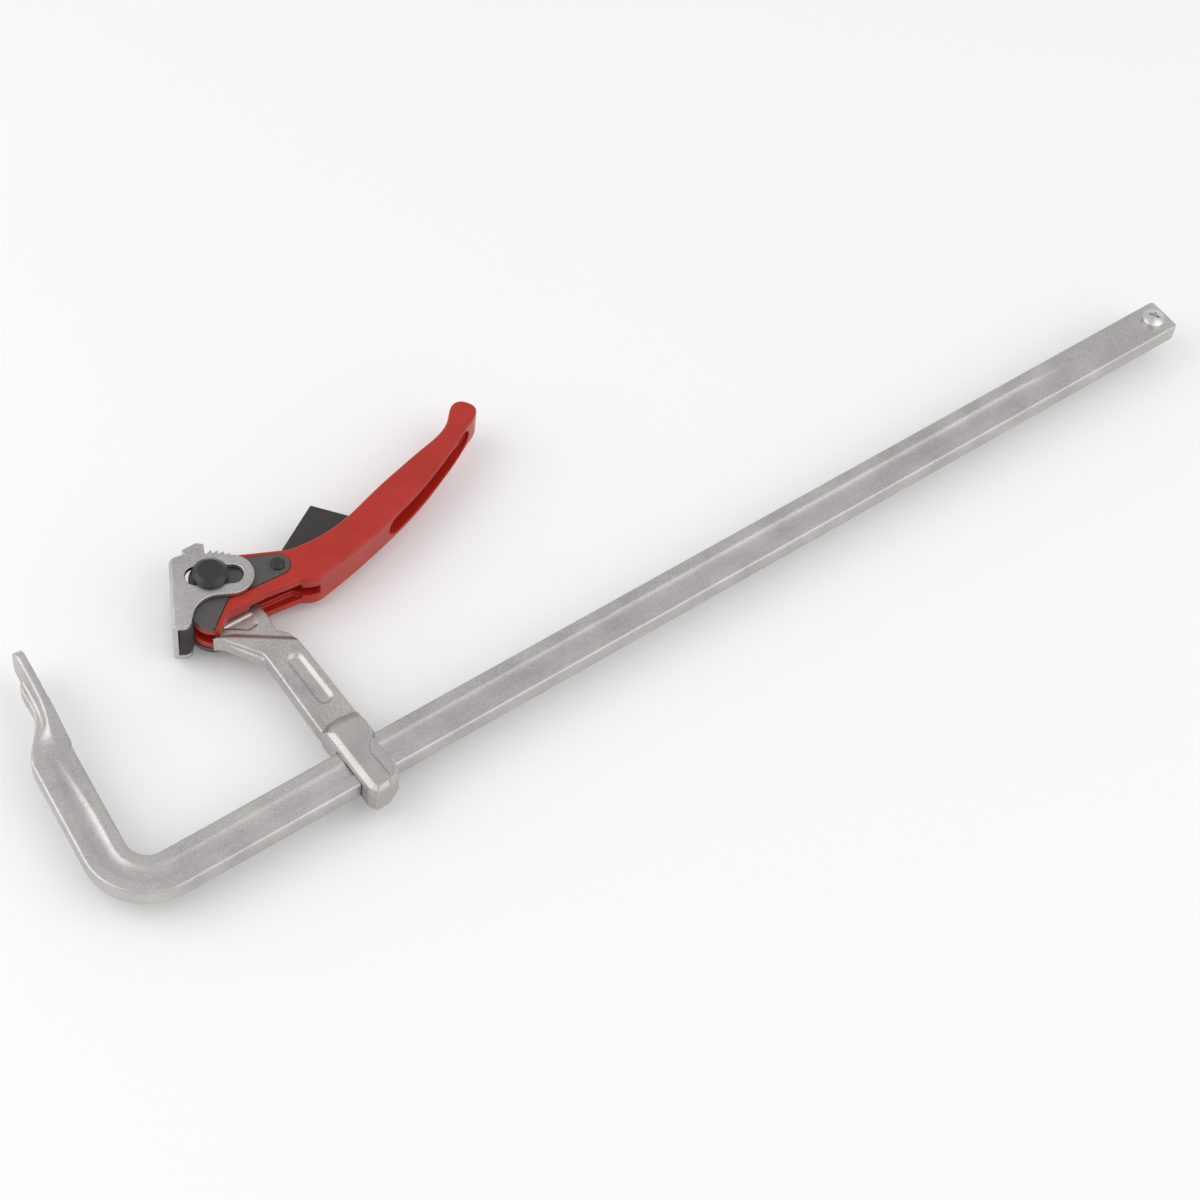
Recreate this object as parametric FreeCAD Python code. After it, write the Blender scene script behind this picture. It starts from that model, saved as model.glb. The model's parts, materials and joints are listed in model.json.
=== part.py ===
import FreeCAD, Part
import math
import os
from FreeCAD import Vector

# Quick-action bar clamp with a ratchet lever, lying flat. Millimetres.
# Origin: centre of the fixed jaw's clamping face. +X runs along the rail to
# its free end, +Y points from the rail to the jaws, +Z is the clamp's thickness.

# ---- driving dimensions -------------------------------------------------
CAPACITY = 600.0          # jaw opening with the sliding arm at its stop screw
REST_OPENING = 82.0       # jaw opening as the clamp is drawn
THROAT = 120.0            # rail's inner edge to the lever's pivot axis
PIVOT_RISE = 8.0          # pivot axis above the centre of the fixed pad
RAIL_WIDTH = 22.0
RAIL_THICK = 11.0
RAIL_CORNER = 1.2
TROUGH_WIDTH = 9.4        # rolled trough in both wide faces of the rail
TROUGH_DEPTH = 1.1
TROUGH_RUN_OUT = 45.0     # length over which the trough rises to nothing
TROUGH_END_GAP = 62.0     # plain length left at the rail's free end
TICK_COUNT = 9            # stamped tick marks near the rail's free end
TICK_PITCH = 4.8
TICK_DEPTH = 0.25
BEND_INNER_R = 11.5
JAW_LEAN = 6.0            # degrees the fixed jaw leans in when unloaded
PAD_HALF_WIDTH = 10.0     # pad's half size across the clamp's thickness
PAD_TOP = 25.0            # centre of the pad to its tip
PAD_ROOT = 36.0           # centre of the pad to where it grows out of the bar
PAD_TIP_THICK = 5.4
PAD_THICK = 6.4
PAD_EDGE = 4.4            # pad's thickness along its two sides
PAD_PROUD = 1.0           # pad in front of the bar's inner edge
RIB_HALF = 4.5
RIB_BACK = 9.4            # pad's face to the back of its rib
NECK = 5.0                # bar below the pad's root where the neck starts to form
GROOVE_PITCH = 2.0        # cross grooves in the middle of the pad
GROOVE_COUNT = 4
RAIL_END_CORNER = 2.5

SCREW_D = 6.0
SCREW_HEAD_D = 12.6
SCREW_HEAD_H = 4.0
SCREW_FROM_END = 9.5
SCREW_DEPTH = 9.0

ARM_THICK = 10.0
ARM_WIDTH = 21.6
HEAD_PLATE = 6.0          # thin plate of the arm between the lever's cheeks
COLLAR_THICK = 20.0
COLLAR_FLANGE_THICK = 16.6
COLLAR_WIDTH = 19.6
COLLAR_WALL = 10.5        # metal past the rail's outer edge
COLLAR_STEP = 0.6         # collar's flange proud of the arm, each side
RAIL_PLAY = 0.35          # gap all round between collar and rail
LEDGE = 3.4               # width of the slope between head plate and arm
LEVER_SWING = 31.8        # radius round the pivot that the lever's cheeks sweep
DISH_R = 4.6
DISH_DEPTH = 1.5
TOOTH_R = 24.5
TOOTH_DEPTH = 2.6
TOOTH_PITCH = 8.0         # degrees
TOOTH_COUNT = 12
TOOTH_FIRST = 58.0        # direction of the first tooth's tip from the pivot

PIN_D = 11.4
PIN_HEAD_D = 18.3
PIN_HEAD_TOP_D = 13.2
PIN_HEAD_H = 4.0
FIT = 0.05                # radial running clearance of pins in holes
SLOT_PLAY = 0.1           # pin to slot, each side
SIDE_GAP = 0.5            # head plate to lever cheek, each side
FACE_GAP = 0.3            # between pieces that slide face to face

LEVER_WIDTH = 22.0
HUB_WALL = 5.6
CAM_THICK = 3.2
CAM_GAP = 0.25            # cam plate to the edge of its pocket
HANDLE_HALF = 9.8         # half the handle's thickness at its middle
HANDLE_TIP_HALF = 8.8
HANDLE_WALL = 2.4
HANDLE_FROM = 50.0        # pivot to where the lever starts to narrow
HANDLE_SLIM = 90.0        # pivot to where it is down to the handle's thickness
HANDLE_TO = 190.0
LEVER_EDGE_R = 1.4

JAW_PLATE = 2.9           # thickness of the pressed pressure jaw
JAW_FREE = 6.5            # lever hub to the web of the pressure jaw at rest
JAW_TILT = 29.0           # degrees the pressure jaw hangs back at rest
JAW_UP = 11.0             # web above the pivot
JAW_DOWN = 31.6           # web below the pivot
JAW_RING = 6.5            # metal round the end of the slot
JAW_PUSH = 10.9           # travel of the pressure jaw over the closing stroke
JAW_BACK = 6.0            # travel of the pressure jaw as the lever is raised

RIVET_D = 5.0
RIVET_HEAD_D = 7.4
RIVET_HEAD_H = 2.2
PAWL_THICK = 6.0
SPRING_WIRE = 0.8
SPRING_D = 5.0
SPRING_TURNS = 4

# ---- sizes that follow from them ----------------------------------------
HUB_R = PIN_D / 2 + HUB_WALL
WEB_IN = HUB_R + JAW_FREE
WEB_OUT = WEB_IN + JAW_PLATE
PIVOT = Vector(REST_OPENING + WEB_OUT, PIVOT_RISE, 0)
HALF_RAIL = RAIL_THICK / 2
RAIL_IN = PIVOT_RISE - THROAT             # inner edge of the rail
RAIL_OUT = RAIL_IN - RAIL_WIDTH
COLLAR_RIGHT = COLLAR_WIDTH - 2.0         # collar's free-end side from the pivot
SCREW_X = CAPACITY + WEB_OUT + COLLAR_RIGHT + SCREW_HEAD_D / 2 + FACE_GAP
RAIL_END = SCREW_X + SCREW_FROM_END
CHEEK_IN = HEAD_PLATE / 2 + SIDE_GAP      # inner face of a lever cheek
CHEEK_OUT = LEVER_WIDTH / 2               # outer face of a lever cheek
CHEEK_MOUTH = CHEEK_OUT - CAM_THICK - 1.5  # half the wider mouth below the lever's hub
JAW_IN = CHEEK_OUT + FACE_GAP
JAW_OUT = JAW_IN + JAW_PLATE
HEAD_Z = JAW_OUT + FACE_GAP
PIN_HOLE_R = PIN_D / 2 + FIT
SLOT_R = PIN_D / 2 + SLOT_PLAY
RIVET = Vector(33.3, -10.9, 0)            # small rivet from the pivot


# ---- small tools ---------------------------------------------------------
def save(shape, node):
    shape = shape.removeSplitter()
    assert shape.isValid() and len(shape.Solids) >= 1, node
    shape.exportStep("parts/%s.step" % node)
    print("%-24s %2d solid(s) %10.1f mm3" % (node, len(shape.Solids), shape.Volume))


def polar(radius, degrees, centre=(0.0, 0.0)):
    angle = math.radians(degrees)
    return (centre[0] + radius * math.cos(angle), centre[1] + radius * math.sin(angle))


def at(point, z=0.0):
    return Vector(point[0], point[1], z)


def outline(start, *steps):
    """Closed face in XY. A step is a point, ("arc", middle, end) or ("curve", points)."""
    edges = []
    here = start
    for step in steps + (start,):
        if step[0] == "arc":
            edges.append(Part.Arc(at(here), at(step[1]), at(step[2])).toShape())
            here = step[2]
        elif step[0] == "curve":
            spline = Part.BSplineCurve()
            spline.interpolate([at(here)] + [at(p) for p in step[1]])
            edges.append(spline.toShape())
            here = step[1][-1]
        elif math.dist(here, step) > 1e-6:
            edges.append(Part.LineSegment(at(here), at(step)).toShape())
            here = step
    return Part.Face(Part.Wire(edges))


def slab(face, low, high):
    """Face in XY raised from low to high in Z."""
    moved = face.copy()
    moved.translate(Vector(0, 0, low))
    return moved.extrude(Vector(0, 0, high - low))


def both_sides(face, low, high):
    """The same plate in front of and behind the middle plane."""
    return slab(face, low, high).fuse(slab(face, -high, -low))


def rounded_slot(x_left, x_right, radius, y=0.0):
    """Slot between two end centres, along X."""
    return outline((x_left, y - radius), (x_right, y - radius),
                   ("arc", (x_right + radius, y), (x_right, y + radius)), (x_left, y + radius),
                   ("arc", (x_left - radius, y), (x_left, y - radius)))


def rod(radius, low, high, centre=(0.0, 0.0)):
    return Part.makeCylinder(radius, high - low, at(centre, low))


def headed_pin(shank_d, head_d, top_d, head_h, head_z, centre=(0.0, 0.0)):
    """Shank with the same chamfered head at both ends."""
    pin = rod(shank_d / 2, -head_z, head_z, centre)
    straight = head_h * 0.45
    for side in (1, -1):
        base = Part.makeCylinder(head_d / 2, straight, at(centre, side * head_z), Vector(0, 0, side))
        cone = Part.makeCone(head_d / 2, top_d / 2, head_h - straight,
                             at(centre, side * (head_z + straight)), Vector(0, 0, side))
        pin = pin.fuse(base).fuse(cone)
    return pin


def soften(shape, radius, wanted):
    """Fillet the edges that wanted(edge) picks."""
    return shape.makeFillet(radius, [edge for edge in shape.Edges if wanted(edge)])


def is_crease(edge):
    """True for the straight edge where the lever's side face starts to taper."""
    box = edge.BoundBox
    return box.XLength < 0.01 and box.ZLength < 0.01


def on_pivot(shape, degrees=0.0):
    """Take a piece drawn about the pivot at the origin to its place."""
    shape = shape.copy()
    shape.rotate(Vector(0, 0, 0), Vector(0, 0, 1), degrees)
    shape.translate(PIVOT)
    return shape


# ---- rail: one bent bar with the fixed jaw forged on its end --------------
def rail_section():
    """Bar section with rounded corners: x from the inner edge outwards, y across."""
    c = RAIL_CORNER
    k = c * (1 - math.sqrt(0.5))
    top, wide = HALF_RAIL, RAIL_WIDTH
    return outline(
        (c, top), (wide - c, top), ("arc", (wide - k, top - k), (wide, top - c)),
        (wide, c - top), ("arc", (wide - k, k - top), (wide - c, -top)),
        (c, -top), ("arc", (k, k - top), (0, c - top)),
        (0, top - c), ("arc", (k, top - k), (c, top)))


def make_rail():
    lean = math.radians(JAW_LEAN)
    along = Vector(math.sin(lean), math.cos(lean), 0)         # up the fixed jaw
    out = Vector(math.cos(lean), -math.sin(lean), 0)          # pad's outward normal
    centre_y = RAIL_IN + BEND_INNER_R
    centre_x = (BEND_INNER_R - PAD_PROUD + centre_y * math.sin(lean)) / math.cos(lean)
    centre = Vector(centre_x, centre_y, 0)
    turn = 90.0 + JAW_LEAN

    def stand(section):
        """Section in the plane across the rail, inner edge at RAIL_IN."""
        face = section.copy()
        face.transformShape(FreeCAD.Matrix(0, 0, 1, centre_x, -1, 0, 0, RAIL_IN,
                                           0, -1, 0, 0, 0, 0, 0, 1))
        return face

    bar = stand(rail_section()).extrude(Vector(RAIL_END - centre_x, 0, 0))
    bend = stand(rail_section()).revolve(centre, Vector(0, 0, 1), -turn)
    leg_face = stand(rail_section())
    leg_face.rotate(centre, Vector(0, 0, 1), -turn)
    bend_end = centre.dot(along)
    leg_length = -PAD_ROOT - NECK - bend_end
    rail = bar.fuse(bend).fuse(leg_face.extrude(along * leg_length))

    # trough: a round cutter that follows the bar and rises out of it at both ends
    cutter_r = (TROUGH_WIDTH ** 2 / 4 + TROUGH_DEPTH ** 2) / (2 * TROUGH_DEPTH)
    cutter_z = HALF_RAIL - TROUGH_DEPTH + cutter_r
    rise = Vector(0, 0, TROUGH_DEPTH / TROUGH_RUN_OUT)
    mid_y = RAIL_IN - RAIL_WIDTH / 2
    straight_end = RAIL_END - TROUGH_END_GAP - TROUGH_RUN_OUT
    leg_straight = max(leg_length - TROUGH_RUN_OUT * 0.8, 1.0)
    bar_start = Vector(centre_x, mid_y, cutter_z)
    leg_start = centre - out * (BEND_INNER_R + RAIL_WIDTH / 2) + Vector(0, 0, cutter_z)

    def disc(middle, normal):
        return Part.Face(Part.Wire(Part.makeCircle(cutter_r, middle, normal)))

    x_way = Vector(1, 0, 0)
    cutters = [disc(bar_start, x_way).revolve(centre, Vector(0, 0, 1), -turn)]
    for begin, way, length in ((bar_start, x_way, straight_end - centre_x),
                               (leg_start, along, leg_straight)):
        cutters.append(disc(begin, way).extrude(way * length))
        run_out = disc(begin + way * length, way)
        cutters.append(run_out.extrude((way + rise) * (TROUGH_RUN_OUT + 3)))
    for cutter in cutters:
        rail = rail.cut(cutter).cut(cutter.mirror(Vector(0, 0, 0), Vector(0, 0, 1)))

    def in_jaw(shape):
        """From (u along the jaw, v out of the pad, z) to the row frame."""
        moved = shape.copy()
        moved.transformShape(FreeCAD.Matrix(along.x, out.x, 0, 0, along.y, out.y, 0, 0,
                                            0, 0, -1, 0, 0, 0, 0, 1))
        return moved

    # neck and rib: sections from the bar to the pad. Each row is the distance
    # from the root, how far the sides and the back have come from bar to pad,
    # and where the side's back edge and the foot of the rib lie
    back = -PAD_PROUD - RAIL_WIDTH
    root = -PAD_ROOT - NECK
    rows = ((-0.2, 0.0, 0.0, -8.0, -16.0), (7, 0.08, 0.15, -7.6, -15.4), (14, 0.36, 0.46, -7.0, -12.6),
            (21, 0.74, 0.76, -6.2, -8.4), (29, 0.92, 0.97, -5.2, -6.6), (37, 0.95, 1.0, -4.7, -6.3),
            (46, 0.95, 1.0, -4.5, -6.2))
    sections = []
    for up, sides, backs, edge, foot in rows:
        half = HALF_RAIL + (PAD_HALF_WIDTH - HALF_RAIL) * sides
        rib = HALF_RAIL + (RIB_HALF - HALF_RAIL) * backs
        rear = back + (-RIB_BACK - back) * backs
        front = -PAD_PROUD * (1 - 0.5 * sides)
        corners = [(front, half), (edge, half), (foot, rib), (rear, rib * 0.96)]
        ring = corners + [(v, -z) for v, z in reversed(corners)]
        sections.append(Part.makePolygon([Vector(root + up, v, z) for v, z in ring + ring[:1]]))
    neck = Part.makeLoft(sections, True, False)
    rib_tip = outline((root + 45, -1.5), (root + 45, -RIB_BACK), (5.0, -RIB_BACK), (7.6, 0.9 - RIB_BACK),
                      (8.8, -5.6), (8.8, -1.5))
    pad_side = outline((-PAD_ROOT, 0), (-PAD_ROOT, -PAD_THICK - 1.5), (-14, -PAD_THICK),
                       (6, -PAD_THICK), (PAD_TOP - 0.8, -PAD_TIP_THICK), (PAD_TOP, -PAD_TIP_THICK + 0.8),
                       (PAD_TOP, -0.8), (PAD_TOP - 0.8, 0))
    crown = Part.Face(Part.makePolygon([
        Vector(-PAD_ROOT, v, z) for v, z in
        ((0, -PAD_HALF_WIDTH), (-PAD_EDGE, -PAD_HALF_WIDTH), (-PAD_THICK, -RIB_HALF),
         (-PAD_THICK - 2, -RIB_HALF), (-PAD_THICK - 2, RIB_HALF), (-PAD_THICK, RIB_HALF),
         (-PAD_EDGE, PAD_HALF_WIDTH), (0, PAD_HALF_WIDTH), (0, -PAD_HALF_WIDTH))]))
    crown = crown.extrude(Vector(PAD_ROOT + PAD_TOP, 0, 0))
    wide = PAD_HALF_WIDTH
    pad_front = outline((-PAD_ROOT, -HALF_RAIL + 0.6), (-PAD_ROOT + 4, -HALF_RAIL + 0.2),
                        ("curve", [(-24, -7.4), (-16, -wide + 0.7), (-9, -wide)]),
                        (18, -wide), ("arc", (22.8, -wide + 1.6), (PAD_TOP, -wide + 5)),
                        (PAD_TOP, wide - 5), ("arc", (22.8, wide - 1.6), (18, wide)), (-9, wide),
                        ("curve", [(-16, wide - 0.7), (-24, 7.4), (-PAD_ROOT + 4, HALF_RAIL - 0.2)]),
                        (-PAD_ROOT, HALF_RAIL - 0.6))
    front = slab(pad_front, -60, 60)
    front.rotate(Vector(0, 0, 0), Vector(1, 0, 0), 90)
    pad = slab(pad_side, -wide, wide).common(front).common(crown)
    jaw = neck.fuse(slab(rib_tip, -RIB_HALF * 0.96, RIB_HALF * 0.96)).fuse(pad)
    for step in range(GROOVE_COUNT):
        low = GROOVE_PITCH * (step - GROOVE_COUNT) - 0.6
        groove = outline((low, 0.1), (low + 0.8, -0.5), (low + 1.6, 0.1))
        jaw = jaw.cut(slab(groove, -30, 30))
    rail = rail.fuse(in_jaw(jaw))

    corner = RAIL_END_CORNER
    end_cut = Part.makeBox(corner * 2, corner, RAIL_THICK + 2,
                           Vector(RAIL_END - corner, 0, -HALF_RAIL - 1))
    for y_corner, side in ((RAIL_IN, -1), (RAIL_OUT, 1)):
        block = end_cut.copy()
        block.translate(Vector(0, y_corner - (corner if side < 0 else 0), 0))
        round_bar = rod(corner, -RAIL_THICK, RAIL_THICK, (RAIL_END - corner, y_corner + side * corner))
        rail = rail.cut(block.cut(round_bar))
    for index in range(TICK_COUNT):
        tall = 4.4 if index % 4 == 0 else 2.8
        tick = Part.makeBox(0.7, tall, 1, Vector(RAIL_END - 70.0 + index * TICK_PITCH, mid_y + 1.6,
                                                 HALF_RAIL - TICK_DEPTH))
        rail = rail.cut(tick)
    return rail.cut(rod(SCREW_D / 2, HALF_RAIL - SCREW_DEPTH, HALF_RAIL + 1,
                        (SCREW_X, RAIL_IN - RAIL_WIDTH / 2)))


# ---- end stop screw -------------------------------------------------------
def make_screw():
    """Pan-head screw with a cross recess; its head stops the sliding arm."""
    shank = rod(SCREW_D / 2, HALF_RAIL - SCREW_DEPTH, HALF_RAIL)
    rim = SCREW_HEAD_H * 0.45
    head = rod(SCREW_HEAD_D / 2, HALF_RAIL, HALF_RAIL + rim)
    rise = SCREW_HEAD_H - rim
    ball_r = (SCREW_HEAD_D ** 2 / 4 + rise ** 2) / (2 * rise)
    dome = Part.makeSphere(ball_r, Vector(0, 0, HALF_RAIL + SCREW_HEAD_H - ball_r))
    dome = dome.common(rod(SCREW_HEAD_D / 2, HALF_RAIL + rim, HALF_RAIL + SCREW_HEAD_H + 1))
    screw = shank.fuse(head).fuse(dome)
    for turn in (30, 120):
        wing = Part.makeBox(6.0, 1.3, 3.0, Vector(-3.0, -0.65, HALF_RAIL + SCREW_HEAD_H - 2.2))
        wing.rotate(Vector(0, 0, 0), Vector(0, 0, 1), turn)
        screw = screw.cut(wing)
    screw.translate(Vector(SCREW_X, RAIL_IN - RAIL_WIDTH / 2, 0))
    return screw


# ---- sliding arm, drawn about the pivot ------------------------------------
def tooth_steps():
    """Saw teeth from the first tip clockwise: steep on the clockwise side."""
    points = []
    for index in range(TOOTH_COUNT):
        tip = TOOTH_FIRST - index * TOOTH_PITCH
        points += [polar(TOOTH_R, tip), polar(TOOTH_R - TOOTH_DEPTH, tip - 1.2)]
    return points


def make_arm():
    rail_in = -THROAT
    rail_out = rail_in - RAIL_WIDTH
    half = ARM_THICK / 2
    left = -1.7
    right = left + ARM_WIDTH
    nose = (-16.2, -28.4)
    band_start = (-10.6, -31.6)
    band_end = (right - 0.5, -53.2)
    body = outline((left - 0.4, rail_in + 12), (left - 0.4, rail_in + 18), (left + 0.9, -56),
                   (left + 0.7, -50.5), (-12.4, -33.4), (-16.4, -30.2),
                   ("arc", (-16.9, -29.2), nose), band_start,
                   band_end, (right - 0.2, rail_in + 60), (right, rail_in + 12))
    body = soften(slab(body, -half, half), 1.6,
                  lambda e: abs(abs(e.CenterOfMass.z) - half) < 0.01 and e.CenterOfMass.y < -30
                  and not (e.CenterOfMass.x > 0 and -54 < e.CenterOfMass.y < -31)
                  and e.CenterOfMass.y > rail_in + 13)
    hub = TOOTH_R - TOOTH_DEPTH
    last = TOOTH_FIRST - (TOOTH_COUNT - 1) * TOOTH_PITCH - 1.2
    plate = outline(polar(hub, last), (15.2, -18.5), (15.0, -31.0), (13.6, -40.0), (18.0, -45.0),
                    (19.3, -50.0), (right - 1.0, -58.0), (left + 3, -58.0), (-13.5, -33.0), (-15.6, -29.3),
                    (-13.2, -26.0), (-8.6, -14.5), polar(HUB_R, 200),
                    ("arc", polar(HUB_R, 150), polar(HUB_R, 95)), (1.8, 13.6), (1.8, 19.2),
                    (-0.7, 21.8), (-0.7, 27.6), (0.3, 28.6), (8.4, 28.6), (11.6, 25.9), polar(hub, 66.5),
                    polar(hub, TOOTH_FIRST + TOOTH_PITCH * 0.85), *tooth_steps())
    arm = body.fuse(slab(plate, -HEAD_PLATE / 2, HEAD_PLATE / 2))

    # slope from the thin head plate up to the thick arm
    low = HEAD_PLATE / 2
    band = at(band_end) - at(band_start)
    slope = Part.Face(Part.makePolygon([
        Vector(0, -0.5, low - 0.5), Vector(0, -0.5, half), Vector(0, 0, half),
        Vector(0, LEDGE, low), Vector(0, LEDGE, low - 0.5), Vector(0, -0.5, low - 0.5)]))
    slope = slope.extrude(Vector(band.Length + 14, 0, 0))
    slope.translate(Vector(-8, 0, 0))
    slope.rotate(Vector(0, 0, 0), Vector(0, 0, 1), math.degrees(math.atan2(band.y, band.x)))
    slope.translate(at(band_start))
    slope = slope.common(slab(plate, 0, ARM_THICK)).cut(rod(LEVER_SWING, -ARM_THICK, ARM_THICK))
    arm = arm.fuse(slope).fuse(slope.mirror(Vector(0, 0, 0), Vector(0, 0, 1)))

    # collar round the rail: a wide flange with a narrower raised strap on it,
    # both with the same rounded left side and outer end
    x0 = left - 0.7
    x1 = COLLAR_RIGHT
    end = rail_out - COLLAR_WALL
    flange = outline((x0, end + 4.5), (x0 + 2.5, end), (x1 - 7.5, end + 0.8), (x1 - 1.8, end + 4),
                     (x1, end + 6.5), (x1, rail_in - 1.0), (right + 0.3, rail_in + 3),
                     (right + 0.3, rail_in + 9), (right - 0.9, rail_in + 14), (x0 + 0.6, rail_in + 14))
    flange_top = outline((x0 + 1.6, end + 5.0), (x0 + 3.8, end + 1.0), (x1 - 8.0, end + 2.4),
                         (x1 - 3.4, end + 5.3), (x1 - 0.7, end + 7.5), (x1 - 0.7, rail_in - 1.8),
                         (right - 0.6, rail_in + 2.6), (right - 0.6, rail_in + 8.6),
                         (right - 2.4, rail_in + 12.2), (x0 + 1.9, rail_in + 10.6))
    strap_foot = outline((x0, end + 4.5), (x0 + 2.5, end), (x0 + 11.4, end + 0.4),
                         (x0 + 15.0, end + 4.6), (x0 + 14.4, rail_in - 11.5), (x0 + 16.1, rail_in - 7.5),
                         (right - 0.3, rail_in - 2.0), (right - 0.2, rail_in + 6.5),
                         (right - 0.1, rail_in + 14.8), (x0 + 13.1, rail_in + 16.4),
                         (x0 + 5.4, rail_in + 16.0), (x0, rail_in + 13.0))
    strap_mid = outline((x0 + 1.2, end + 4.6), (x0 + 3.3, end + 0.5), (x0 + 11.0, end + 0.8),
                        (x0 + 14.2, end + 4.8), (x0 + 13.6, rail_in - 10.9), (x0 + 15.7, rail_in - 6.9),
                        (right - 0.9, rail_in - 1.5), (right - 0.6, rail_in + 6.2),
                        (right - 1.2, rail_in + 12.2), (x0 + 12.4, rail_in + 13.6),
                        (x0 + 5.8, rail_in + 13.2), (x0 + 1.3, rail_in + 10.6))
    strap_top = outline((x0 + 4.2, end + 5.4), (x0 + 5.4, end + 3.0), (x0 + 10.6, end + 3.1),
                        (x0 + 12.7, end + 6.3), (x0 + 12.2, rail_in - 10.0), (x0 + 14.9, rail_in - 6.0),
                        (right - 1.7, rail_in - 0.8), (right - 1.3, rail_in + 5.8),
                        (right - 2.9, rail_in + 9.2), (x0 + 11.4, rail_in + 10.5),
                        (x0 + 6.6, rail_in + 9.8), (x0 + 4.2, rail_in + 8.0))
    low = half + COLLAR_STEP
    mid = COLLAR_FLANGE_THICK / 2
    collar = slab(flange, -low, low)
    for side in (1, -1):
        for levels in (((flange, low), (flange_top, mid)),
                       ((strap_foot, low), (strap_mid, mid), (strap_top, COLLAR_THICK / 2))):
            wires = []
            for shape, level in levels:
                layer = shape.copy()
                layer.translate(Vector(0, 0, side * level))
                wires.append(layer.OuterWire)
            collar = collar.fuse(Part.makeLoft(wires, True, True))
    arm = arm.fuse(collar)

    window_y = rail_out - RAIL_PLAY
    window = Part.makeBox(80, RAIL_WIDTH + 2 * RAIL_PLAY, RAIL_THICK + 2 * RAIL_PLAY,
                          Vector(-40, window_y, -HALF_RAIL - RAIL_PLAY))
    arm = arm.cut(window)
    recess = outline((-8.6, -25.0), (2.4, -33.0), (7.6, -32.2), (8.6, -25.0))
    dish_x = (left + right) / 2 + 1.9
    walls = []
    for radius, level in ((DISH_R + 0.3, half + 0.2), (DISH_R - 2.0, half - DISH_DEPTH)):
        rim = rounded_slot(rail_in + 31.5, rail_in + 57.5, radius)
        rim.rotate(Vector(0, 0, 0), Vector(0, 0, 1), 90)
        rim.translate(Vector(dish_x, 0, level))
        walls.append(rim.OuterWire)
    deep = Part.makeLoft(walls, True, True)
    thin = slab(recess, HEAD_PLATE / 2 - 0.7, HEAD_PLATE / 2 + 1)
    for cutter in (deep, thin):
        arm = arm.cut(cutter).cut(cutter.mirror(Vector(0, 0, 0), Vector(0, 0, 1)))
    return arm.cut(rod(PIN_HOLE_R, -HEAD_PLATE, HEAD_PLATE))


# ---- cam plates and lever, drawn about the pivot ---------------------------
def cam_outline(grow=0.0):
    """Hub, arm to the small rivet and the lobe that pushes the pressure jaw."""
    end_r = 6.6 + grow
    hub = HUB_R - 0.6 + grow
    rivet = (RIVET.x, RIVET.y)
    g = grow
    return outline(polar(hub, 72), polar(end_r, 68, rivet),
                   ("arc", polar(end_r, -18, rivet), polar(end_r, -98, rivet)),
                   (1.0 + g, -15.4 - g), (-12.0 + g, -25.3 - g),
                   ("arc", (-13.6 + g * 0.5, -26.9 - g), (-16.1 - g * 0.5, -26.0 - g)),
                   ("arc", (-19.2 - g, -22.2 - g * 0.6), (-20.8 - g, -17.0)),
                   ("arc", (-16.2 - g, -8.4 + g), polar(hub, 176)),
                   ("arc", polar(hub, 130), polar(hub, 72)))


def make_cam(side):
    cam = slab(cam_outline(), CHEEK_OUT - CAM_THICK, CHEEK_OUT)
    cam = cam.cut(rod(PIN_HOLE_R, 0, CHEEK_OUT + 1)).cut(rod(RIVET_D / 2, 0, CHEEK_OUT + 1, RIVET))
    if side < 0:
        cam = cam.mirror(Vector(0, 0, 0), Vector(0, 0, 1))
    return cam


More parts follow.
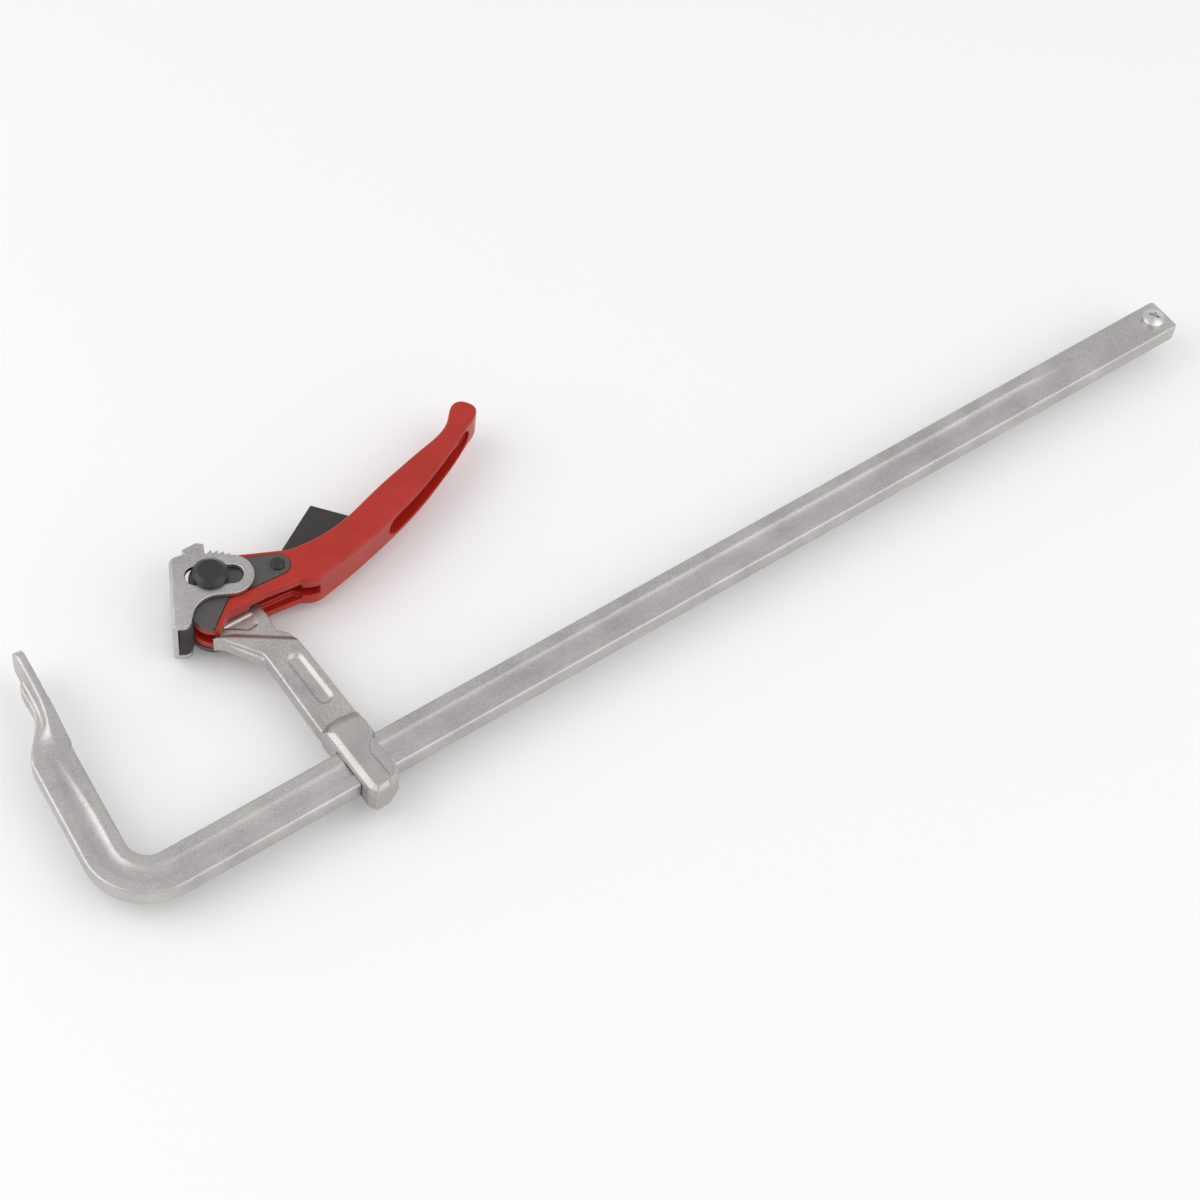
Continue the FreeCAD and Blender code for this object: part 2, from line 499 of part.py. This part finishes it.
def make_lever():
    """Die-cast lever: forked head round the arm's plate, hollow handle."""
    hub_top = polar(HUB_R + 2.187, 64.765)
    shell = outline(
        (44.0, -5.9), hub_top, ("curve", [(1.6, HUB_R + 1.2), polar(HUB_R, 102)]),
        ("arc", polar(HUB_R, 140), polar(HUB_R, 178)),
        ("arc", (-16.0, -8.6), (-20.3, -17.0)), ("arc", (-18.8, -22.2), (-15.4, -26.2)),
        (-12.6, -28.3), (-8.8, -26.2), (-3.5, -22.8), (18.0, -23.2), (38.0, -25.6),
        ("curve", [(42.5, -28.2), (47.0, -29.3), (52.5, -28.6), (61.0, -27.0), (75.0, -24.0), (90.0, -20.2),
                   (107.0, -15.2), (125.0, -8.8), (143.0, -0.8), (160.0, 7.7), (170.0, 13.2), (177.4, 17.6),
                   (179.8, 21.4), (178.6, 25.6), (175.7, 29.0), (171.9, 30.0), (168.4, 28.6), (163.4, 23.7),
                   (158.4, 19.5), (152.5, 16.7), (138.4, 13.0), (123.2, 9.2), (107.5, 4.9), (92.0, 0.0),
                   (82.3, -3.1), (70.0, -5.7), (58.0, -6.7), (44.0, -5.9)]))
    body = slab(shell, -CHEEK_OUT, CHEEK_OUT)
    taper = outline((-HANDLE_FROM, -CHEEK_OUT), (HANDLE_FROM, -CHEEK_OUT), (HANDLE_SLIM, -HANDLE_HALF),
                    (HANDLE_TO, -HANDLE_TIP_HALF), (HANDLE_TO, HANDLE_TIP_HALF),
                    (HANDLE_SLIM, HANDLE_HALF), (HANDLE_FROM, CHEEK_OUT), (-HANDLE_FROM, CHEEK_OUT))
    taper = slab(taper, -60, 60)
    taper.rotate(Vector(0, 0, 0), Vector(1, 0, 0), 90)
    body = body.common(taper)
    body = soften(body, LEVER_EDGE_R,
                  lambda e: e.CenterOfMass.x > 18 and abs(e.CenterOfMass.z) > HANDLE_TIP_HALF - 0.1
                  and e.BoundBox.XLength > 2.0 and not is_crease(e))

    gap = CHEEK_IN
    fork = outline((-40, -40), (47.5, -40), (47.5, 20), (-40, 20))
    body = body.cut(slab(fork, -gap, gap))
    slot = outline((40, 20), (40, -22), (47.5, -22.5), (60, -22.6), (78, -19.2), (93, -13.6), (93, 20))
    body = body.cut(slab(slot, -gap, gap))
    mouth = outline((9, -40), (9, -18.6), (36, -20.6), (38.5, -23.5), (38.5, -40))
    body = body.cut(slab(mouth, -CHEEK_MOUTH, CHEEK_MOUTH))

    # long hollow in the underside of the handle
    hollow = outline((98.0, -30), (98.0, -17.5),
                     ("curve", [(103, -10.0), (112, -4.2), (140, 6.8), (160, 13.6), (170, 16.0)]),
                     (170.0, -30))
    width = HANDLE_TIP_HALF - HANDLE_WALL + 0.6
    plan = slab(rounded_slot(98.0 + width, 170.0 - width, width), -60, 60)
    plan.rotate(Vector(0, 0, 0), Vector(1, 0, 0), 90)
    body = body.cut(slab(hollow, -width, width).common(plan))

    for side in (1, -1):
        pocket = slab(cam_outline(CAM_GAP), CHEEK_OUT - CAM_THICK, CHEEK_OUT + 1)
        if side < 0:
            pocket = pocket.mirror(Vector(0, 0, 0), Vector(0, 0, 1))
        body = body.cut(pocket)
    body = body.cut(rod(PIN_HOLE_R, -CHEEK_OUT - 1, CHEEK_OUT + 1))
    return body.cut(rod(RIVET_D / 2, -CHEEK_OUT - 1, CHEEK_OUT + 1, RIVET))


# ---- pawl with its release trigger, and its spring --------------------------
def make_pawl():
    rivet = (RIVET.x, RIVET.y)
    shape = outline((TOOTH_R + 0.45, -1.4), (28.6, 0.2), (36.0, -2.6), (43.0, 0.4),
                    ("curve", [(52.0, 5.6), (62.0, 11.4), (70.6, 16.4)]),
                    ("arc", (71.4, 16.5), (72.0, 15.9)),
                    (84.6, 0.1), (82.8, -3.4), (60.0, -8.6), (44.0, -13.4), polar(5.6, -40, rivet),
                    ("arc", polar(5.6, -100, rivet), polar(5.6, 175, rivet)))
    pawl = slab(shape, -PAWL_THICK / 2, PAWL_THICK / 2)
    return pawl.cut(rod(RIVET_D / 2 + FIT, -PAWL_THICK, PAWL_THICK, rivet))


def make_spring():
    """Compression spring between the pawl and the floor of the lever's slot."""
    foot = Vector(62.0, -21.3, 0)
    height = 9.2
    radius = (SPRING_D - SPRING_WIRE) / 2
    helix = Part.makeHelix(height / SPRING_TURNS, height, radius)
    ring = Part.Wire(Part.makeCircle(SPRING_WIRE / 2, Vector(radius, 0, 0), Vector(0, 1, 0.1)))
    coil = Part.Wire(helix).makePipeShell([ring], True, True)
    coil.rotate(Vector(0, 0, 0), Vector(1, 0, 0), -90)
    coil.translate(foot)
    return coil


# ---- pressure jaw: a pressed channel that hangs on the pivot pin ------------
def make_jaw():
    left_centre = -(JAW_BACK + 1.2)
    right_centre = JAW_PUSH + 0.2
    ring = SLOT_R + JAW_RING
    face = -WEB_OUT
    low = -JAW_DOWN
    cheek = outline(
        (face, low + 1.0), (face, JAW_UP - 1.2), (face + 2.2, JAW_UP + 1.0), (face + 5.6, JAW_UP + 2.2),
        (face + 8.8, JAW_UP + 3.0), (-10.2, JAW_UP + 6.2),
        ("arc", (-7.9, JAW_UP + 7.2), (-5.4, JAW_UP + 6.4)), (-2.2, ring), (right_centre - 1.0, ring),
        ("arc", (right_centre - 1.0 + ring, 0), (right_centre - 1.0, -ring)), (4.0, -ring - 0.2),
        ("arc", (-6.2, -ring - 4.6), (-9.9, -ring - 12.6)), (-10.6, low + 5.0),
        ("arc", (-12.0, low + 1.0), (-15.6, low)), (face + 1.2, low))
    plate = both_sides(cheek, JAW_IN, JAW_OUT)
    web = outline((face, low + 1.0), (face, JAW_UP - 1.2), (face + 1.6, JAW_UP + 0.4),
                  (face + JAW_PLATE, JAW_UP + 0.4), (face + JAW_PLATE, low), (face + 1.2, low))
    jaw = plate.fuse(slab(web, -JAW_OUT, JAW_OUT))
    jaw = soften(jaw, 2.0, lambda e: abs(abs(e.CenterOfMass.z) - JAW_OUT) < 0.01
                 and abs(e.CenterOfMass.x - face) < 0.01)
    slot = rounded_slot(left_centre, right_centre, SLOT_R)
    return jaw.cut(slab(slot, -JAW_OUT - 1, JAW_OUT + 1))


# ---- build --------------------------------------------------------------------
os.makedirs("parts", exist_ok=True)
save(make_rail(), "rail_with_fixed_jaw")
save(make_screw(), "end_stop_screw")
save(on_pivot(make_arm()), "sliding_arm")
save(on_pivot(make_lever()), "lever")
save(on_pivot(make_cam(1)), "cam_plate_front")
save(on_pivot(make_cam(-1)), "cam_plate_rear")
save(on_pivot(headed_pin(RIVET_D, RIVET_HEAD_D, RIVET_HEAD_D - 2.2, RIVET_HEAD_H, CHEEK_OUT,
                         (RIVET.x, RIVET.y))), "pawl_rivet")
save(on_pivot(make_pawl()), "pawl_with_trigger")
save(on_pivot(make_spring()), "pawl_spring")
save(on_pivot(headed_pin(PIN_D, PIN_HEAD_D, PIN_HEAD_TOP_D, PIN_HEAD_H, HEAD_Z)), "pivot_pin")
save(on_pivot(make_jaw(), -JAW_TILT), "pressure_jaw")
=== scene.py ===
import json

import bpy
from mathutils import Matrix, Vector

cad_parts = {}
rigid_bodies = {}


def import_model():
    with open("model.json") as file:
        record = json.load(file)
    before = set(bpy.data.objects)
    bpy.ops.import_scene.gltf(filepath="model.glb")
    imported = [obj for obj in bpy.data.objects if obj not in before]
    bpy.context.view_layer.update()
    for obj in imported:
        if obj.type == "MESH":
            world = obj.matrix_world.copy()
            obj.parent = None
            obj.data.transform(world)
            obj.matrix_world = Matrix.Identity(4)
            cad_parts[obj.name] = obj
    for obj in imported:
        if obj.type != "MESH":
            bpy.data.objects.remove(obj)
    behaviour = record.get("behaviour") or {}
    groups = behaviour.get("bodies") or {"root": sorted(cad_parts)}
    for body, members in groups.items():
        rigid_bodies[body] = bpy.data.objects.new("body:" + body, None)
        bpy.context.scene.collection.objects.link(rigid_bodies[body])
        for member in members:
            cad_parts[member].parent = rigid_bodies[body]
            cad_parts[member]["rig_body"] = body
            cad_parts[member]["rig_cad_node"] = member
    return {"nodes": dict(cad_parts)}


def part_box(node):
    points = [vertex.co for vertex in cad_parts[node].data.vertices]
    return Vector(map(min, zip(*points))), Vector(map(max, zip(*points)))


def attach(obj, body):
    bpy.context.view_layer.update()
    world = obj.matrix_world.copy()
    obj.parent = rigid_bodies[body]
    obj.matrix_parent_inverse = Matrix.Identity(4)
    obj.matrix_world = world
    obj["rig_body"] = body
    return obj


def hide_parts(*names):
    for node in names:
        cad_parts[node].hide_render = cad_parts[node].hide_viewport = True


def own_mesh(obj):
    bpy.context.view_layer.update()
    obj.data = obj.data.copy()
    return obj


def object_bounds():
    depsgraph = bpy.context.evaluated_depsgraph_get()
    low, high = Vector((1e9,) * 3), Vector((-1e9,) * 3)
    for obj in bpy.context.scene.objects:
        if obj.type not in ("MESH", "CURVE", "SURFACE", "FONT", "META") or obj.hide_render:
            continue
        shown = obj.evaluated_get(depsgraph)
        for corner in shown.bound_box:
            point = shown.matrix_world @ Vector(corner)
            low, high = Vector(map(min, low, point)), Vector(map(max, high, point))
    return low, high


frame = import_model()
CAD_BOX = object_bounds()
nodes = frame["nodes"]


# Rail with the fixed jaw: a drawn steel bar with a rolled channel in both wide faces, bent
# hot, forged to a pad with a rib behind it at one end, and zinc plated. The plating is
# satin, with a fine grain in relief and roughness and painted glints speckled into its
# colour. A row of plain tick marks is stamped near the free end.
def noise(tree, place, scale, detail):
    """Noise at a given scale on the piece's own coordinates."""
    node = tree.nodes.new("ShaderNodeTexNoise")
    node.inputs["Scale"].default_value = scale
    node.inputs["Detail"].default_value = detail
    tree.links.new(place.outputs["Object"], node.inputs["Vector"])
    return node


def ramp(tree, source, low, low_colour, high, high_colour):
    """Colour that drifts between two tones with the noise."""
    node = tree.nodes.new("ShaderNodeValToRGB")
    first, last = node.color_ramp.elements
    first.position, first.color = low, list(low_colour) + [1.0]
    last.position, last.color = high, list(high_colour) + [1.0]
    tree.links.new(source.outputs["Fac"], node.inputs["Fac"])
    return node


def bump(tree, source, strength, height):
    """Relief of a given height in metres, from the noise."""
    node = tree.nodes.new("ShaderNodeBump")
    node.inputs["Strength"].default_value = strength
    node.inputs["Distance"].default_value = height
    tree.links.new(source.outputs["Fac"], node.inputs["Height"])
    return node


def new_finish(name):
    """Empty material with its shader and the piece's own coordinates."""
    material = bpy.data.materials.new(name)
    material.use_nodes = True
    tree = material.node_tree
    return material, tree, tree.nodes["Principled BSDF"], tree.nodes.new("ShaderNodeTexCoord")


def zinc_plating(name, colour, rough, grain, painted_sparkle, dent):
    """Satin zinc over steel: cloudy tone, a fine grain in relief and roughness, painted
    glints speckled into the colour, and shallow forged dents.
    """
    material, tree, shader, place = new_finish(name)
    clouds = noise(tree, place, scale=45.0, detail=6.0)
    dull = [c * 0.86 for c in colour]
    bright = [min(1.0, c * 1.1) for c in colour]
    tone = ramp(tree, clouds, 0.3, dull, 0.72, bright)
    specks = noise(tree, place, scale=grain, detail=2.0)
    # Painted glints: noise specks overlaid on the base colour stand in for the plating's
    # sparkle.
    painted_glints = tree.nodes.new("ShaderNodeMixRGB")
    painted_glints.blend_type = "OVERLAY"
    painted_glints.inputs["Fac"].default_value = painted_sparkle
    tree.links.new(tone.outputs["Color"], painted_glints.inputs["Color1"])
    tree.links.new(specks.outputs["Fac"], painted_glints.inputs["Color2"])
    tree.links.new(painted_glints.outputs["Color"], shader.inputs["Base Color"])

    gloss = tree.nodes.new("ShaderNodeMapRange")
    gloss.inputs["To Min"].default_value = rough - 0.09
    gloss.inputs["To Max"].default_value = rough + 0.12
    tree.links.new(specks.outputs["Fac"], gloss.inputs["Value"])
    tree.links.new(gloss.outputs["Result"], shader.inputs["Roughness"])

    fine = bump(tree, specks, strength=0.6, height=0.00009)
    dents = noise(tree, place, scale=160.0, detail=3.0)
    coarse = bump(tree, dents, strength=dent, height=0.0003)
    tree.links.new(fine.outputs["Normal"], coarse.inputs["Normal"])
    tree.links.new(coarse.outputs["Normal"], shader.inputs["Normal"])
    shader.inputs["Metallic"].default_value = 1.0
    return material


def only(piece):
    """Select this piece alone and make it the active one."""
    bpy.ops.object.select_all(action="DESELECT")
    piece.select_set(True)
    bpy.context.view_layer.objects.active = piece


def finish_node(name, material):
    nodes[name].data.materials.clear()
    nodes[name].data.materials.append(material)


def loose_copy(node, name, material):
    """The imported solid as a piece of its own, with its finish."""
    piece = nodes[node].copy()
    piece.data = nodes[node].data.copy()
    piece.name = piece.data.name = name
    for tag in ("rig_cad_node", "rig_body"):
        if tag in piece:
            del piece[tag]
    piece.parent = None
    bpy.context.scene.collection.objects.link(piece)
    piece.data.materials.clear()
    piece.data.materials.append(material)
    return piece


def stand_for(piece, node):
    """The piece moves with the node's body and takes its place."""
    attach(piece, nodes[node]["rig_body"])
    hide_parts(node)


def worn_copy(node, name, material, voxel, passes, kept):
    """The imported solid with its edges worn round: merged, remeshed, relaxed and thinned."""
    piece = loose_copy(node, name, material)
    only(piece)
    bpy.ops.object.mode_set(mode="EDIT")
    bpy.ops.mesh.select_all(action="SELECT")
    bpy.ops.mesh.remove_doubles(threshold=1e-6)
    bpy.ops.object.mode_set(mode="OBJECT")
    remesh = piece.modifiers.new("even_mesh", "REMESH")
    remesh.mode = "VOXEL"
    remesh.voxel_size = voxel
    remesh.use_smooth_shade = True
    bpy.ops.object.modifier_apply(modifier=remesh.name)
    relax = piece.modifiers.new("worn_edges", "SMOOTH")
    relax.factor = 0.5
    relax.iterations = passes
    bpy.ops.object.modifier_apply(modifier=relax.name)
    thin = piece.modifiers.new("thinner_mesh", "DECIMATE")
    thin.ratio = kept
    bpy.ops.object.modifier_apply(modifier=thin.name)
    stand_for(piece, node)
    return piece


drawn_steel = zinc_plating("drawn_steel", (0.56, 0.542, 0.527), rough=0.37, grain=1700.0,
                           painted_sparkle=0.5, dent=0.12)
rail = worn_copy("rail_with_fixed_jaw", "forged_rail", drawn_steel, voxel=0.0006, passes=7,
                 kept=0.42)

TICK_WIDTH = 0.0007
TICK_LONG, TICK_SHORT = 0.0044, 0.0028
TICK_PITCH = 0.0048
TICK_DEPTH = 0.00025
FIRST_TICK = 0.06965        # from the rail's free end
TICK_ROW = 0.0126           # from the rail's outer edge to the foot of the ticks
WIDE_FACE = 0.0055          # the rail's wide face above its middle
rail_low, rail_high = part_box("rail_with_fixed_jaw")
stamps = []
for index in range(9):
    tall = TICK_LONG if index % 4 == 0 else TICK_SHORT
    middle = (rail_high.x - FIRST_TICK + index * TICK_PITCH,
              rail_low.y + TICK_ROW + tall / 2, WIDE_FACE)
    bpy.ops.mesh.primitive_cube_add(size=1.0, location=middle)
    bpy.context.object.scale = (TICK_WIDTH, tall, 2 * TICK_DEPTH)
    stamps.append(bpy.context.object)
bpy.ops.object.select_all(action="DESELECT")
for stamp in stamps:
    stamp.select_set(True)
bpy.ops.object.join()
punch = bpy.context.object
bpy.ops.object.transform_apply(location=True, rotation=True, scale=True)
cut = rail.modifiers.new("stamped_ticks", "BOOLEAN")
cut.operation = "DIFFERENCE"
cut.solver = "EXACT"
cut.object = punch
only(rail)
bpy.ops.object.modifier_apply(modifier=cut.name)
bpy.data.objects.remove(punch, do_unlink=True)


# End stop screw: a pan head screw with a cross recess, turned into the rail's free end so
# that the arm can't slide off. It has a bright zinc plating.
screw_zinc = zinc_plating("screw_zinc", (0.66, 0.66, 0.66), rough=0.26, grain=4000.0,
                          painted_sparkle=0.2, dent=0.05)
finish_node("end_stop_screw", screw_zinc)


# Sliding arm: a drop forging with a collar round the rail and a toothed plate at its head.
# It has the rail's plating over a rougher forged skin.
forged_steel = zinc_plating("forged_steel", (0.53, 0.512, 0.497), rough=0.40, grain=1500.0,
                            painted_sparkle=0.5, dent=0.3)
worn_copy("sliding_arm", "forged_arm", forged_steel, voxel=0.00034, passes=12, kept=0.5)


# Lever: a die casting, forked round the arm's plate and hollow along the handle. Its red
# powder coat has a fine orange peel and a thin gloss.
red_coat, tree, shader, place = new_finish("red_powder_coat")
peel = noise(tree, place, scale=900.0, detail=2.0)
peel_relief = bump(tree, peel, strength=0.3, height=0.00008)
tree.links.new(peel_relief.outputs["Normal"], shader.inputs["Normal"])
drift = noise(tree, place, scale=60.0, detail=3.0)
red = ramp(tree, drift, 0.35, (0.39, 0.015, 0.007), 0.7, (0.44, 0.021, 0.010))
tree.links.new(red.outputs["Color"], shader.inputs["Base Color"])
shader.inputs["Roughness"].default_value = 0.36
shader.inputs["Specular IOR Level"].default_value = 0.4
shader.inputs["Coat Weight"].default_value = 0.12
shader.inputs["Coat Roughness"].default_value = 0.2
worn_copy("lever", "cast_lever", red_coat, voxel=0.00042, passes=5, kept=0.45)


# Cam plates: hardened steel plates let into both cheeks of the lever, with a dull grey
# phosphate finish. Their lobes push the pressure jaw.
def dark_finish(name, colour, rough, metal):
    """Phosphated or blackened steel, or plain wire: an even tone with a fine grain."""
    material, tree, shader, place = new_finish(name)
    grain = noise(tree, place, scale=1800.0, detail=4.0)
    tone = ramp(tree, grain, 0.3, [c * 0.75 for c in colour],
                0.75, [c * 1.2 for c in colour])
    tree.links.new(tone.outputs["Color"], shader.inputs["Base Color"])
    relief = bump(tree, grain, strength=0.35, height=0.00005)
    tree.links.new(relief.outputs["Normal"], shader.inputs["Normal"])
    shader.inputs["Roughness"].default_value = rough
    shader.inputs["Metallic"].default_value = metal
    return material


phosphate = dark_finish("dark_phosphate", (0.115, 0.112, 0.105), rough=0.42, metal=0.6)
finish_node("cam_plate_front", phosphate)
finish_node("cam_plate_rear", phosphate)


# Pawl with its trigger, its rivet and its spring: the plate turns on the rivet that also
# holds the cam plates, and the spring below it presses it into the teeth.
blackened = dark_finish("blackened_steel", (0.036, 0.035, 0.034), rough=0.34, metal=0.3)
trigger_black = dark_finish("trigger_black", (0.038, 0.036, 0.034), rough=0.42, metal=0.2)
wire_steel = dark_finish("spring_wire", (0.4, 0.4, 0.4), rough=0.3, metal=1.0)
finish_node("pawl_rivet", blackened)
finish_node("pawl_with_trigger", trigger_black)
spring = loose_copy("pawl_spring", "return_spring", wire_steel)
stand_for(spring, "pawl_spring")
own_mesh(spring)


# Pressure jaw: a channel pressed from sheet steel, zinc plated, that hangs on the pivot pin
# by a slot in each cheek. The blackened pin is headed at both ends.
pressed_steel = zinc_plating("pressed_steel", (0.55, 0.533, 0.518), rough=0.39,
                             grain=1600.0, painted_sparkle=0.55, dent=0.22)
worn_copy("pressure_jaw", "pressed_jaw", pressed_steel, voxel=0.00034, passes=6, kept=0.5)
finish_node("pivot_pin", blackened)


# Floor and light: a plain pale floor just under the clamp, a large soft light on each side
# and an even white surround.
bpy.ops.object.select_all(action="DESELECT")
bpy.ops.mesh.primitive_plane_add(size=12.0, location=(0.3, 0.0, CAD_BOX[0].z))
floor = bpy.context.object
floor.name = "studio_floor"
paper = bpy.data.materials.new("studio_paper")
paper.use_nodes = True
paper_shader = paper.node_tree.nodes["Principled BSDF"]
paper_shader.inputs["Base Color"].default_value = (0.93, 0.93, 0.93, 1)
paper_shader.inputs["Roughness"].default_value = 0.9
floor.data.materials.append(paper)

world = bpy.data.worlds.new("studio")
world.use_nodes = True
surround = world.node_tree.nodes["Background"]
surround.inputs["Color"].default_value = (1.0, 1.0, 1.0, 1.0)
surround.inputs["Strength"].default_value = 0.72
bpy.context.scene.world = world

LIGHT_AIM = Vector((0.25, -0.05, 0.0))


def soft_box(name, place, size, watts):
    lamp = bpy.data.lights.new(name, "AREA")
    lamp.shape = "RECTANGLE"
    lamp.size, lamp.size_y = size
    lamp.energy = watts
    holder = bpy.data.objects.new(name, lamp)
    holder.location = place
    holder.rotation_euler = (LIGHT_AIM - Vector(place)).to_track_quat("-Z", "Y").to_euler()
    bpy.context.scene.collection.objects.link(holder)


soft_box("key_light", (-1.15, 0.75, 1.25), size=(2.0, 2.0), watts=15.0)
soft_box("fill_light", (1.0, -1.3, 1.3), size=(2.2, 2.0), watts=11.0)


# Camera: a long lens high beyond the fixed jaw's end of the clamp, rolled a little so that
# the rail rises to the right.
CAMERA_PLACE = Vector((-0.3223, -0.7376, 1.1985))
CAMERA_RIGHT = Vector((0.80233, -0.59107, 0.08311))
CAMERA_UP = Vector((0.44387, 0.68393, 0.57898))
CAMERA_FORWARD = Vector((0.39906, 0.42764, -0.81110))
camera_data = bpy.data.cameras.new("camera")
camera_data.lens = 85.5
camera_data.sensor_width = 36.0
camera_data.clip_start = 0.01
camera = bpy.data.objects.new("camera", camera_data)
turn = Matrix((CAMERA_RIGHT, CAMERA_UP, -CAMERA_FORWARD)).transposed()
camera.matrix_world = Matrix.Translation(CAMERA_PLACE) @ turn.to_4x4()
bpy.context.scene.collection.objects.link(camera)
bpy.context.scene.camera = camera
bpy.context.scene.view_settings.view_transform = "Standard"
